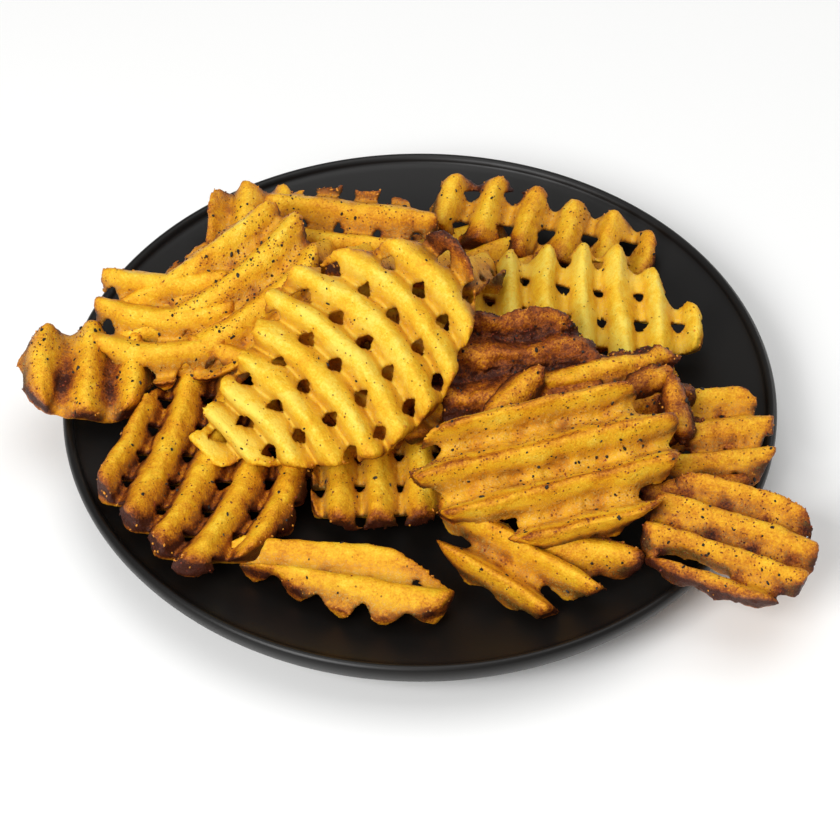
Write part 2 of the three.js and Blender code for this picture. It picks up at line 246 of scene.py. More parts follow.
# Fries that show, from the top of the heap down
shownFries = [
    {"name": "crown", "at": (-14.4, -8.6, 44), "turn": -49, "lean": 29, "facing": -97, "length": 53,
     "width": 91, "offset": (-0.5, -10.5), "squareness": 2.5,
     "trims": [(205, 21), (-24, 25.5), (140, 32)], "topPitch": 9.9, "basePitch": 10.4, "topShift": 0.5,
     "baseShift": 0.5, "skew": -1, "valley": -1.3, "fullness": 0.6, "pit": 0.06, "edgeDrop": 0.3,
     "arch": -0.003, "cup": 0.0005, "droop": 0.0037, "sweep": -0.0075, "bow": -0.0035, "gather": 0.0024,
     "tone": 0.17, "reliefShade": 0.06, "spice": 0.35,
     "scorches": [(0, 34, 6, 0.55), (8, 35, 5, 0.4), (-6, 33, 5, 0.5), (17, 30, 5, 0.25),
                  (-20, 24, 7, 0.3), (-5, -42, 14, -0.15)]},
    {"name": "leftShoulder", "at": (-50.5, 17.7, 35.5), "turn": 34, "lean": 24, "facing": -110,
     "length": 57, "width": 38, "offset": (-1.5, -1), "topPitch": 10.4, "basePitch": 10, "topShift": 0.1,
     "valley": 0.3, "fullness": 0.85, "baseRelief": 0.5, "pit": 0.1, "edgeDrop": 0.8, "arch": -0.009,
     "cup": -0.004, "sweep": 0.009, "tone": 0.38, "pitShade": 0.2, "spice": 1.0},
    {"name": "leftLadder", "at": (-68, 11.7, 30), "turn": -3, "lean": 20, "facing": -100, "length": 38,
     "width": 34, "squareness": 3, "topShift": 0.1, "baseShift": 0.1, "valley": -0.7, "sweep": 0.012,
     "tone": 0.38, "spice": 0.4},
    {"name": "leftTip", "at": (-86.8, -0.5, 25), "turn": 90, "lean": 12, "facing": -35, "length": 29,
     "width": 36, "offset": (-0.8, 1.5), "squareness": 2.4, "topPitch": 12.2, "basePitch": 11.8,
     "topShift": 0.1, "crest": 5.2, "valley": 0.8, "fullness": 1.0, "baseRelief": 0.4, "edgeDrop": 4,
     "edgeBand": 8, "cup": 0.006, "tone": 0.42, "spice": 1.0,
     "scorches": [(-9, 7.2, 3.2, 0.4), (-4, 7.2, 3, 0.45), (1, 7.2, 3, 0.35), (-8, -5.2, 3.2, 0.4),
                  (-3, -5.2, 3, 0.45), (2, -5.2, 3, 0.35)]},
    {"name": "frontLeft", "at": (-56.4, -35.6, 19.6), "turn": 74, "lean": 8, "facing": 30, "length": 71,
     "width": 51, "offset": (3, -1), "squareness": 2.3, "trims": [(150, 26)], "topPitch": 10.9,
     "basePitch": 9.64, "baseShift": 0.5, "skew": 21.5, "crest": 4.4, "valley": -0.95, "fullness": 0.6,
     "edgeDrop": 0.8, "arch": 0.004, "cup": 0.0023, "twist": -0.0015, "sweep": 0.0033, "bow": 0.0015,
     "tone": 0.57, "reliefShade": 0.5, "scorches": [(-30, -4, 8, 0.2), (-22, 12, 7, 0.15)]},
    {"name": "backStub", "at": (-46.1, 54.1, 26), "turn": 86, "lean": 18, "facing": -95, "length": 26,
     "width": 26, "squareness": 3.5, "topPitch": 10.5, "basePitch": 10.5, "topShift": 0.25, "valley": 0.1,
     "baseRelief": 0.6, "tone": 0.45},
    {"name": "backStrip", "at": (-19.4, 49.2, 32), "turn": -8, "lean": 16, "length": 48, "width": 22,
     "squareness": 3, "topPitch": 10.5, "basePitch": 10.5, "topShift": 0.3, "baseShift": 0.3,
     "valley": -0.3, "tone": 0.5, "spice": 0.6},
    {"name": "backRight", "at": (39.3, 57.5, 19.5), "turn": 71, "lean": 16, "length": 22, "width": 66,
     "offset": (1, 5), "squareness": 4, "topPitch": 11.7, "basePitch": 10.9, "topShift": -0.19,
     "baseShift": -0.485, "skew": 10.4, "valley": -0.9, "fullness": 0.8, "edgeDrop": 1.8, "cup": 0.0042,
     "twist": 0.0014, "bow": -0.0022, "tone": 0.42,
     "scorches": [(-8, 24, 3.5, 0.5), (-8, 13, 4, 0.65), (-8, 1, 4, 0.6), (-8, -11, 3.5, 0.4),
                  (10, 16, 3, 0.5), (10, 27, 3, 0.4)]},
    {"name": "paleRight", "at": (50.9, 19.5, 23), "turn": 90, "lean": 12, "facing": -87, "length": 46,
     "width": 64, "offset": (0.5, 6), "squareness": 2.3, "trims": [(-50, 24)], "topPitch": 10.1,
     "basePitch": 9.2, "topShift": -0.33, "baseShift": -0.513, "skew": -7, "crest": 5.2, "valley": 0.1,
     "fullness": 0.95, "baseDepth": -0.6, "pit": 0.06, "edgeDrop": 3.0, "cup": 0.0028, "bow": 0.0016,
     "tone": 0.16, "reliefShade": 0.12, "spice": 0.25},
    {"name": "darkMiddle", "at": (24.7, -8.7, 33), "turn": 4, "lean": 22, "length": 46, "width": 32,
     "topShift": 0.4, "valley": 0.5, "baseRelief": 0.4, "wobble": 1.8, "lump": 2.4, "crumb": 1.2,
     "tone": 0.84, "reliefShade": 0.26, "spice": 1.0},
    {"name": "darkRight", "at": (47.5, -20.5, 29.5), "turn": 16, "lean": 20, "facing": -85, "length": 46,
     "width": 36, "topPitch": 9.6, "topShift": 0.15, "valley": 0.5, "baseRelief": 0.4, "arch": -0.012,
     "wobble": 1.6, "lump": 2.2, "crumb": 1.1, "tone": 0.66, "crestShade": -0.2, "reliefShade": 0.2,
     "spice": 1.0, "scorches": [(18, 2, 8, 0.25), (20, -8, 8, 0.25), (4, 11, 8, -0.1)]},
    {"name": "darkKnob", "at": (66, -21.5, 32), "turn": 97, "lean": 20, "length": 17, "width": 9,
     "squareness": 2.2, "valley": 1, "baseRelief": 0.3, "lump": 2, "crumb": 1.2, "tone": 0.73,
     "spice": 1.0},
    {"name": "darkLobe", "at": (59, -14, 34), "turn": 20, "lean": 20, "length": 13, "width": 9,
     "squareness": 2.0, "valley": 1, "baseRelief": 0.3, "lump": 2, "crumb": 1.2, "tone": 0.73,
     "spice": 1.0},
    {"name": "orangeLobe", "at": (24.5, -18.5, 34.6), "turn": 42, "lean": 20, "length": 19, "width": 9,
     "squareness": 2, "valley": 1, "baseRelief": 0.3, "lump": 1.4, "crumb": 0.8, "tone": 0.62,
     "spice": 0.8},
    {"name": "broadFront", "at": (29.9, -40.5, 37.6), "turn": 15, "lean": 28, "facing": -85, "length": 70,
     "width": 40, "offset": (0, -5), "squareness": 2.5,
     "trims": [(204.6, 27.3), (237.4, 20), (-33, 30.3)], "topPitch": 10.8, "basePitch": 10.6, "skew": -20,
     "crest": 6.0, "valley": -0.3, "fullness": 1.2, "baseDepth": 0.5, "baseRelief": 0.3, "pit": 0.16,
     "edgeDrop": 7.0, "edgeBand": 9, "crumb": 0.6, "tone": 0.29, "pitShade": 0.22, "crestShade": 0.5,
     "reliefShade": 0.34, "spice": 0.9},
    {"name": "rightEdge", "at": (73.8, -25, 24.5), "turn": 6, "lean": 3, "length": 35, "width": 32,
     "offset": (0, 1.5), "squareness": 2.8, "trims": [(42, 17)], "topShift": 0.2, "valley": -0.2,
     "baseRelief": 0.8, "edgeDrop": 2.4, "tone": 0.52, "spice": 0.8},
    {"name": "darkUnder", "at": (70, -43, 20.5), "turn": 10, "lean": 8, "length": 28, "width": 17,
     "topShift": 0.3, "valley": 0.6, "baseRelief": 0.4, "lump": 2.0, "crumb": 1.0, "tone": 0.8,
     "spice": 1.0},
    {"name": "frontRight", "at": (77.4, -59.5, 24), "turn": -22.5, "lean": 2, "length": 43, "width": 34,
     "offset": (-1, 0.5), "squareness": 3, "trims": [(48, 22)], "slots": [(-7, -10.3, 20, 6)],
     "topPitch": 10.1, "topShift": 0.5, "valley": 0.3, "fullness": 0.85, "baseRelief": 0.2, "pit": 0.14,
     "edgeDrop": 3, "tone": 0.55, "pitShade": 0.2, "spice": 0.9},
    {"name": "frontStrip", "at": (-19.4, -64.1, 18), "turn": -10, "lean": 6, "facing": 90, "length": 60,
     "width": 23, "trims": [(67, 11), (245.6, 12.4)], "topPitch": 11, "basePitch": 11.6, "topShift": 0.5,
     "baseShift": 0.1, "valley": 0.1, "fullness": 0.8, "edgeDrop": 1.0, "fan": 0.009, "tone": 0.38,
     "reliefShade": 0.1, "spice": 0.2},
    {"name": "frontWedge", "at": (28.5, -61.5, 22), "turn": -34, "lean": 20, "facing": -105, "length": 50,
     "width": 31, "offset": (-2, 0), "squareness": 2.1, "trims": [(-34, 16.8), (90, 8.5)], "topPitch": 11,
     "basePitch": 11.4, "crest": 6.0, "valley": 0, "fullness": 1.1, "baseRelief": 0.3, "pit": 0.12,
     "edgeDrop": 8, "edgeBand": 11, "tone": 0.44, "crestShade": 0.2, "reliefShade": 0.35},
    {"name": "rearWedge", "at": (40.2, -59.8, 22), "turn": -12, "lean": 20, "facing": -95, "length": 31,
     "width": 14, "squareness": 1.8, "valley": 0.6, "baseRelief": 0.4, "tone": 0.5,
     "scorches": [(16, 0, 4, 0.3)]},
    {"name": "paleMiddle", "at": (-10.3, -33.9, 15.5), "turn": 92, "lean": 2, "length": 30, "width": 36,
     "offset": (2.7, 0), "squareness": 4, "baseShift": -0.45, "fullness": 0.6, "edgeDrop": 1,
     "tone": 0.38, "spice": 0.6, "scorches": [(-13, -10, 5, 0.35), (-13, 0, 4, 0.2), (-12, 10, 5, 0.2)]},
]

# Fries under and behind those, which carry them. Only the ones of the back slope are seasoned
innerFries = [
    {"name": "bedLeft", "at": (-12, 2, 14.5), "turn": 20, "lean": 2, "facing": 0, "length": 62,
     "width": 48},
    {"name": "bedMiddle", "at": (-16, 4, 25), "turn": -40, "lean": 5, "length": 56, "width": 46},
    {"name": "backSlope", "at": (-6, 33, 32), "turn": 70, "lean": 36, "facing": 82, "length": 40,
     "width": 58, "seasoned": True},
    {"name": "backLeft", "at": (-42, 28, 20), "turn": 10, "lean": 4, "facing": 90, "length": 56,
     "width": 42, "seasoned": True},
    {"name": "bedRight", "at": (28, 8, 17), "turn": -30, "lean": 5, "facing": 0, "length": 58,
     "width": 46},
    {"name": "underDark", "at": (28, -12, 24), "turn": 60, "lean": 8, "facing": -60, "length": 44,
     "width": 40},
    {"name": "underBroad", "at": (28, -30, 16), "turn": 10, "lean": 2, "length": 36, "width": 26},
    {"name": "backMiddle", "at": (-3, 25, 21), "turn": -15, "lean": 24, "facing": 50, "length": 40,
     "width": 38, "seasoned": True},
    {"name": "underLeft", "at": (-44, 10, 29), "turn": -20, "lean": 10, "facing": -100, "length": 36,
     "width": 30},
    {"name": "underCrown", "at": (-12, -6, 31), "turn": -30, "lean": 20, "length": 46, "width": 36},
    {"name": "backBed", "at": (10, 47, 17), "turn": 30, "lean": 4, "facing": 90, "length": 44,
     "width": 36, "seasoned": True},
]
innerFries = [{"valley": -0.3, "cell": 0.8, "tone": 0.48, "seasoned": False, **fry} for fry in innerFries]


# Height of a row of ridges at a distance across them
def ridgeProfileTree():
    tree = bpy.data.node_groups.new("ridgeProfile", "GeometryNodeTree")
    for name in ("Across", "Pitch", "Shift", "Crest", "Valley", "Fullness"):
        tree.interface.new_socket(name=name, in_out="INPUT", socket_type="NodeSocketFloat")
    tree.interface.new_socket(name="Height", in_out="OUTPUT", socket_type="NodeSocketFloat")
    given = addNode(tree, "NodeGroupInput").node.outputs
    turns = addNode(tree, "ShaderNodeMath", {"operation": "DIVIDE"}, {
        0: given["Across"], 1: given["Pitch"]})
    turns = addNode(tree, "ShaderNodeMath", {"operation": "SUBTRACT"}, {0: turns, 1: given["Shift"]})
    angle = addNode(tree, "ShaderNodeMath", {"operation": "MULTIPLY"}, {0: turns, 1: 2 * math.pi})
    wave = addNode(tree, "ShaderNodeMath", {"operation": "COSINE"}, {0: angle})
    wave = addNode(tree, "ShaderNodeMapRange", {}, {"Value": wave, "From Min": -1.0, "From Max": 1.0})
    wave = addNode(tree, "ShaderNodeMath", {"operation": "POWER"}, {0: wave, 1: given["Fullness"]})
    height = addNode(tree, "ShaderNodeMapRange", {}, {
        "Value": wave, "To Min": given["Valley"], "To Max": given["Crest"]})
    addNode(tree, "NodeGroupOutput", {}, {"Height": height})
    return tree


# The cut's inputs that are a fry's values as they stand, and those that are worked out from them
plainInputs = {
    "Length": "length", "Width": "width", "Squareness": "squareness",
    "Top Pitch": "topPitch", "Base Pitch": "basePitch", "Top Shift": "topShift", "Base Shift": "baseShift",
    "Crest": "crest", "Valley": "valley", "Fullness": "fullness", "Base Depth": "baseDepth",
    "Base Relief": "baseRelief", "Pit": "pit", "Edge Drop": "edgeDrop", "Edge Band": "edgeBand",
    "Wobble": "wobble", "Lump": "lump", "Crumb": "crumb",
}
workedInputs = ["Offset X", "Offset Y", "Skew", "Trim A Angle", "Trim A Distance", "Trim B Angle",
                "Trim B Distance", "Trim C Angle", "Trim C Distance", "Slot X", "Slot Y", "Slot Length",
                "Slot Width", "Seed"]

# How the cut is rounded, in millimetres, and how often it sways, lumps and crumbles in a millimetre:
# sways of about 14 mm, lumps of 4.5 mm and crumbs of 1.2 mm
cutting = {
    "trimRound": 2.0, "edgeRound": 2.4, "faceRound": 1.0, "slotRound": 1.0,
    "swaysPerMm": 0.07, "swayReach": 6.0, "lumpsPerMm": 0.22, "lumpReach": 2.0,
    "crumbsPerMm": 0.85, "crumbReach": 1.8, "crestCrumb": 0.35, "rimWidth": 3.0,
}


# A solid waffle cut, made as a volume: ridges on both faces, inside a rounded outline
def waffleCutTree(ridges):
    tree = bpy.data.node_groups.new("waffleCut", "GeometryNodeTree")
    sockets = tree.interface
    for name in [*plainInputs, *workedInputs]:
        sockets.new_socket(name=name, in_out="INPUT", socket_type="NodeSocketFloat")
    for name in ("Low Corner", "High Corner"):
        sockets.new_socket(name=name, in_out="INPUT", socket_type="NodeSocketVector")
    for name in ("Steps X", "Steps Y", "Steps Z"):
        sockets.new_socket(name=name, in_out="INPUT", socket_type="NodeSocketInt")
    sockets.new_socket(name="Crust", in_out="INPUT", socket_type="NodeSocketMaterial")
    sockets.new_socket(name="Geometry", in_out="OUTPUT", socket_type="NodeSocketGeometry")
    given = addNode(tree, "NodeGroupInput").node.outputs
    where = addNode(tree, "GeometryNodeInputPosition")

    # a slow wobble keeps the cut from being perfectly straight
    sway = addNode(tree, "ShaderNodeTexNoise", {"noise_dimensions": "4D"}, {
        "Vector": where, "W": given["Seed"], "Scale": cutting["swaysPerMm"],
        "Detail": 1.0}).node.outputs["Color"]
    sway = addNode(tree, "ShaderNodeVectorMath", {"operation": "SUBTRACT"}, {0: sway, 1: (0.5, 0.5, 0.5)})
    reach = addNode(tree, "ShaderNodeMath", {"operation": "MULTIPLY"}, {
        0: given["Wobble"], 1: cutting["swayReach"]})
    sway = addNode(tree, "ShaderNodeVectorMath", {"operation": "SCALE"}, {0: sway, "Scale": reach})
    swayed = addNode(tree, "ShaderNodeVectorMath", {"operation": "ADD"}, {0: where, 1: sway})
    place = addNode(tree, "ShaderNodeSeparateXYZ", {}, {0: swayed}).node.outputs
    height = addNode(tree, "ShaderNodeSeparateXYZ", {}, {0: where}).node.outputs["Z"]

    # distance to the outline, a superellipse with up to three straight trims
    offsets, shares = [], []
    for axis, size in (("X", "Length"), ("Y", "Width")):
        offset = addNode(tree, "ShaderNodeMath", {"operation": "SUBTRACT"}, {
            0: place[axis], 1: given["Offset " + axis]})
        half = addNode(tree, "ShaderNodeMath", {"operation": "MULTIPLY"}, {0: given[size], 1: 0.5})
        share = addNode(tree, "ShaderNodeMath", {"operation": "DIVIDE"}, {0: offset, 1: half})
        share = addNode(tree, "ShaderNodeMath", {"operation": "ABSOLUTE"}, {0: share})
        share = addNode(tree, "ShaderNodeMath", {"operation": "POWER"}, {0: share, 1: given["Squareness"]})
        offsets.append(offset)
        shares.append(share)
    total = addNode(tree, "ShaderNodeMath", {"operation": "ADD"}, {0: shares[0], 1: shares[1]})
    root = addNode(tree, "ShaderNodeMath", {"operation": "DIVIDE"}, {0: 1.0, 1: given["Squareness"]})
    ring = addNode(tree, "ShaderNodeMath", {"operation": "POWER"}, {0: total, 1: root})
    ring = addNode(tree, "ShaderNodeMath", {"operation": "MAXIMUM"}, {0: ring, 1: 0.02})
    flat = addNode(tree, "ShaderNodeCombineXYZ", {}, {"X": offsets[0], "Y": offsets[1]})
    radius = addNode(tree, "ShaderNodeVectorMath", {"operation": "LENGTH"}, {0: flat}).node.outputs["Value"]
    inward = addNode(tree, "ShaderNodeMath", {"operation": "SUBTRACT"}, {0: 1.0, 1: ring})
    inside = addNode(tree, "ShaderNodeMath", {"operation": "MULTIPLY"}, {0: radius, 1: inward})
    inside = addNode(tree, "ShaderNodeMath", {"operation": "DIVIDE"}, {0: inside, 1: ring})
    for letter in ("A", "B", "C"):
        aim = addNode(tree, "ShaderNodeVectorRotate", {"rotation_type": "Z_AXIS", "invert": True}, {
            "Vector": flat, "Angle": given["Trim %s Angle" % letter]})
        aim = addNode(tree, "ShaderNodeSeparateXYZ", {}, {0: aim})
        left = addNode(tree, "ShaderNodeMath", {"operation": "SUBTRACT"}, {
            0: given["Trim %s Distance" % letter], 1: aim})
        inside = addNode(tree, "ShaderNodeMath", {"operation": "SMOOTH_MIN"}, {
            0: inside, 1: left, 2: cutting["trimRound"]})

    # the valleys sink towards the outline, which leaves the ridge ends standing as fingers
    near = addNode(tree, "ShaderNodeMapRange", {}, {
        "Value": inside, "From Min": 0.0, "From Max": given["Edge Band"], "To Min": 1.0, "To Max": 0.0})
    near = addNode(tree, "ShaderNodeMath", {"operation": "MULTIPLY"}, {0: near, 1: near})
    sink = addNode(tree, "ShaderNodeMath", {"operation": "MULTIPLY"}, {0: near, 1: given["Edge Drop"]})
    valley = addNode(tree, "ShaderNodeMath", {"operation": "SUBTRACT"}, {0: given["Valley"], 1: sink})

    # upper ridges run along x, lower ones across it, turned by the skew
    turned = addNode(tree, "ShaderNodeVectorRotate", {"rotation_type": "Z_AXIS", "invert": True}, {
        "Vector": swayed, "Angle": given["Skew"]})
    turned = addNode(tree, "ShaderNodeSeparateXYZ", {}, {0: turned}).node.outputs
    base = addNode(tree, "GeometryNodeGroup", {"node_tree": ridges}, {
        "Across": turned["X"], "Pitch": given["Base Pitch"], "Shift": given["Base Shift"],
        "Crest": given["Crest"], "Valley": valley, "Fullness": given["Fullness"]})

    # pits in the upper valleys, between the lower ridges
    pit = addNode(tree, "ShaderNodeMath", {"operation": "SUBTRACT"}, {0: given["Crest"], 1: base})
    pit = addNode(tree, "ShaderNodeMath", {"operation": "MULTIPLY"}, {0: pit, 1: given["Pit"]})
    floor = addNode(tree, "ShaderNodeMath", {"operation": "SUBTRACT"}, {0: valley, 1: pit})
    top = addNode(tree, "GeometryNodeGroup", {"node_tree": ridges}, {
        "Across": place["Y"], "Pitch": given["Top Pitch"], "Shift": given["Top Shift"],
        "Crest": given["Crest"], "Valley": floor, "Fullness": given["Fullness"]})

    # the lower face, plainer or deeper where the fry says so
    mean = addNode(tree, "ShaderNodeMath", {"operation": "ADD"}, {0: given["Crest"], 1: given["Valley"]})
    mean = addNode(tree, "ShaderNodeMath", {"operation": "MULTIPLY"}, {0: mean, 1: 0.5})
    base = addNode(tree, "ShaderNodeMix", {}, {"Factor": given["Base Relief"], "A": mean, "B": base})
    base = addNode(tree, "ShaderNodeMath", {"operation": "ADD"}, {0: base, 1: given["Base Depth"]})
    above = addNode(tree, "ShaderNodeMath", {"operation": "SUBTRACT"}, {0: top, 1: height})
    below = addNode(tree, "ShaderNodeMath", {"operation": "ADD"}, {0: base, 1: height})

    # an open slot where two ridges came apart
    fromSlot = {}
    for axis, size in (("X", "Slot Length"), ("Y", "Slot Width")):
        gap = addNode(tree, "ShaderNodeMath", {"operation": "SUBTRACT"}, {
            0: place[axis], 1: given["Slot " + axis]})
        fromSlot[axis] = addNode(tree, "ShaderNodeMath", {"operation": "DIVIDE"}, {0: gap, 1: given[size]})
    gap = addNode(tree, "ShaderNodeCombineXYZ", {}, fromSlot)
    gap = addNode(tree, "ShaderNodeVectorMath", {"operation": "LENGTH"}, {0: gap}).node.outputs["Value"]
    gap = addNode(tree, "ShaderNodeMath", {"operation": "SUBTRACT"}, {0: gap, 1: 0.5})
    gap = addNode(tree, "ShaderNodeMath", {"operation": "MULTIPLY"}, {0: gap, 1: given["Slot Width"]})

    # depth inside the solid, which both faces, the outline and the slot bound
    depth = above
    for bound, rounding in ((below, "faceRound"), (inside, "edgeRound"), (gap, "slotRound")):
        depth = addNode(tree, "ShaderNodeMath", {"operation": "SMOOTH_MIN"}, {
            0: depth, 1: bound, 2: cutting[rounding]})

    # crust: soft lumps all over, crumbs in the valleys and along the edges
    lumps = addNode(tree, "ShaderNodeTexNoise", {"noise_dimensions": "4D"}, {
        "Vector": where, "W": given["Seed"], "Scale": cutting["lumpsPerMm"], "Detail": 2.0})
    lumps = addNode(tree, "ShaderNodeMath", {"operation": "SUBTRACT"}, {0: lumps, 1: 0.5})
    for share in (given["Lump"], cutting["lumpReach"]):
        lumps = addNode(tree, "ShaderNodeMath", {"operation": "MULTIPLY"}, {0: lumps, 1: share})
    crumbs = addNode(tree, "ShaderNodeTexNoise", {"noise_dimensions": "4D"}, {
        "Vector": where, "W": given["Seed"], "Scale": cutting["crumbsPerMm"], "Detail": 3.0,
        "Roughness": 0.65})
    crumbs = addNode(tree, "ShaderNodeMapRange", {}, {
        "Value": crumbs, "To Min": -cutting["crumbReach"], "To Max": cutting["crumbReach"]})
    lift = addNode(tree, "ShaderNodeMath", {"operation": "ABSOLUTE"}, {0: height})
    ridge = addNode(tree, "ShaderNodeMapRange", {}, {
        "Value": lift, "From Min": 0.5, "From Max": given["Crest"], "To Min": 0.0, "To Max": 1.0})
    rough = addNode(tree, "ShaderNodeMapRange", {}, {
        "Value": ridge, "To Min": 1.0, "To Max": cutting["crestCrumb"]})
    edge = addNode(tree, "ShaderNodeMapRange", {}, {
        "Value": inside, "From Min": 0.0, "From Max": cutting["rimWidth"], "To Min": 1.0, "To Max": 0.0})
    rough = addNode(tree, "ShaderNodeMath", {"operation": "MAXIMUM"}, {0: rough, 1: edge})
    rough = addNode(tree, "ShaderNodeMath", {"operation": "MULTIPLY"}, {0: rough, 1: given["Crumb"]})
    crumbs = addNode(tree, "ShaderNodeMath", {"operation": "MULTIPLY"}, {0: crumbs, 1: rough})
    for uneven in (lumps, crumbs):
        depth = addNode(tree, "ShaderNodeMath", {"operation": "ADD"}, {0: depth, 1: uneven})

    block = addNode(tree, "GeometryNodeVolumeCube", {}, {
        "Density": depth, "Background": 0.0, "Min": given["Low Corner"], "Max": given["High Corner"],
        "Resolution X": given["Steps X"], "Resolution Y": given["Steps Y"],
        "Resolution Z": given["Steps Z"]})
    solid = addNode(tree, "GeometryNodeVolumeToMesh", {}, {"Volume": block, "Threshold": 0.01})

    # loose scraps are dropped: only the island with the most points stays
    island = addNode(tree, "GeometryNodeInputMeshIsland")
    extent = addNode(tree, "GeometryNodeAccumulateField", {"data_type": "INT"}, {
        "Value": 1, "Group ID": island}).node.outputs["Total"]
    most = addNode(tree, "GeometryNodeAttributeStatistic", {}, {"Geometry": solid, "Attribute": extent})
    scrap = addNode(tree, "FunctionNodeCompare", {"data_type": "INT", "operation": "LESS_THAN"}, {
        "A": extent, "B": most.node.outputs["Max"]})
    solid = addNode(tree, "GeometryNodeDeleteGeometry", {}, {"Geometry": solid, "Selection": scrap})

    # walls of the holes and the outline, which the crust darkens: painted shade inside the holes, browning
    # along the outline
    steep = addNode(tree, "GeometryNodeInputNormal")
    steep = addNode(tree, "ShaderNodeSeparateXYZ", {}, {0: steep}).node.outputs["Z"]
    steep = addNode(tree, "ShaderNodeMath", {"operation": "ABSOLUTE"}, {0: steep})
    steep = addNode(tree, "ShaderNodeMapRange", {}, {
        "Value": steep, "From Min": 0.25, "From Max": 0.75, "To Min": 1.0, "To Max": 0.0})
    wall = addNode(tree, "ShaderNodeMapRange", {}, {
        "Value": lift, "From Min": 0.8, "From Max": 2.6, "To Min": 1.0, "To Max": 0.0})
    wall = addNode(tree, "ShaderNodeMath", {"operation": "MULTIPLY"}, {0: wall, 1: steep})
    perPoint = {"data_type": "FLOAT", "domain": "POINT"}
    for name, value in (("ridge", ridge), ("rim", edge), ("wall", wall)):
        solid = addNode(tree, "GeometryNodeStoreNamedAttribute", perPoint, {
            "Geometry": solid, "Name": name, "Value": value})
    solid = addNode(tree, "GeometryNodeRealizeInstances", {}, {"Geometry": solid})
    solid = addNode(tree, "GeometryNodeSetMaterial", {}, {"Geometry": solid, "Material": given["Crust"]})
    addNode(tree, "NodeGroupOutput", {}, {"Geometry": solid})
    return tree


# Sets a modifier's inputs by their names, before the object is first evaluated
def setInputs(modifier, values):
    for item in modifier.node_group.interface.items_tree:
        if item.in_out == "INPUT" and item.name in values:
            modifier[item.identifier] = values[item.name]


def plainMesh(piece, name):
    shape = piece.evaluated_get(bpy.context.evaluated_depsgraph_get())
    mesh = bpy.data.meshes.new_from_object(shape)
    mesh.name = name
    holder = piece.data
    bpy.data.objects.remove(piece)
    bpy.data.meshes.remove(holder)
    return mesh


# Moves the points of a flat fry, in millimetres, to its bent shape
def bend(fry, points):
    x, y, height = points.T
    past = np.maximum(0, -y - fry["droopFrom"])
    rise = fry["arch"] * x * x / 2 + fry["cup"] * y * y / 2 + fry["twist"] * x * y
    rise -= fry["droop"] * past ** 2
    slopeX = fry["arch"] * x + fry["twist"] * y
    slopeY = fry["cup"] * y + fry["twist"] * x + 2 * fry["droop"] * past
    out = height / np.sqrt(slopeX ** 2 + slopeY ** 2 + 1)
    bentX = x + fry["bow"] * y * y - slopeX * out
    bentY = y * (1 + fry["fan"] * x) + fry["sweep"] * x * x - slopeY * out
    bentY += fry["gather"] * np.minimum(y, 0) ** 2
    return np.stack([bentX, bentY, rise + out], axis=1)


def fryPlace(fry):
    facing = math.radians(fry["facing"])
    hinge = Vector((-math.sin(facing), math.cos(facing), 0))
    tilt = Matrix.Rotation(math.radians(fry["lean"]), 4, hinge)
    spin = Matrix.Rotation(math.radians(fry["turn"]), 4, "Z")
    return Matrix.Translation(fry["at"]) @ tilt @ spin


# Food that would sink a little into the plate is pressed up to lie on it
def restOnPlate(points):
    radius = np.hypot(points[:, 0], points[:, 1])
    gap, deepest, overhang = 0.35, 6, 1
    floor = np.where(radius < plate["wellRadius"], wellHeight(radius) + gap, plate["rimTop"] + gap)
    low = (radius < plate["rimRadius"] + overhang) & (points[:, 2] < floor) & (points[:, 2] > floor - deepest)
    points[low, 2] = floor[low]
    return points


# How brown each point of the flat cut is fried, with painted shade in the pits, on the crests' far side
# and in the hollows, and painted light on the crests. The crests are the top third of the ridges
def browningAndShade(fry, flat):
    x, y, height = flat.T
    skew = math.radians(fry["skew"])
    acrossTop = y / fry["topPitch"] - fry["topShift"]
    acrossBase = (x * math.cos(skew) + y * math.sin(skew)) / fry["basePitch"] - fry["baseShift"]
    pits = np.clip(-np.cos(2 * math.pi * acrossTop), 0, 1) * np.clip(-np.cos(2 * math.pi * acrossBase), 0, 1)
    crests = np.clip((height / fry["crest"] - 0.6) / 0.3, 0, 1)
    shadeSide = 0.5 + 0.5 * np.sin(2 * math.pi * acrossTop + 0.5)
    # painted shade in the pits, where the upper and lower valleys cross
    tone = fry["tone"] + fry["pitShade"] * pits
    # painted light and shade: the crests paler and the hollows darker, by their height
    tone += fry["reliefShade"] * (0.5 - np.clip(np.abs(height) / fry["crest"], 0, 1))
    # painted shade on the far side of the crests
    tone += fry["crestShade"] * crests * shadeSide
    for spotX, spotY, radius, strength in fry["scorches"]:
        tone += strength * np.exp(-((x - spotX) ** 2 + (y - spotY) ** 2) / radius ** 2)
    return tone


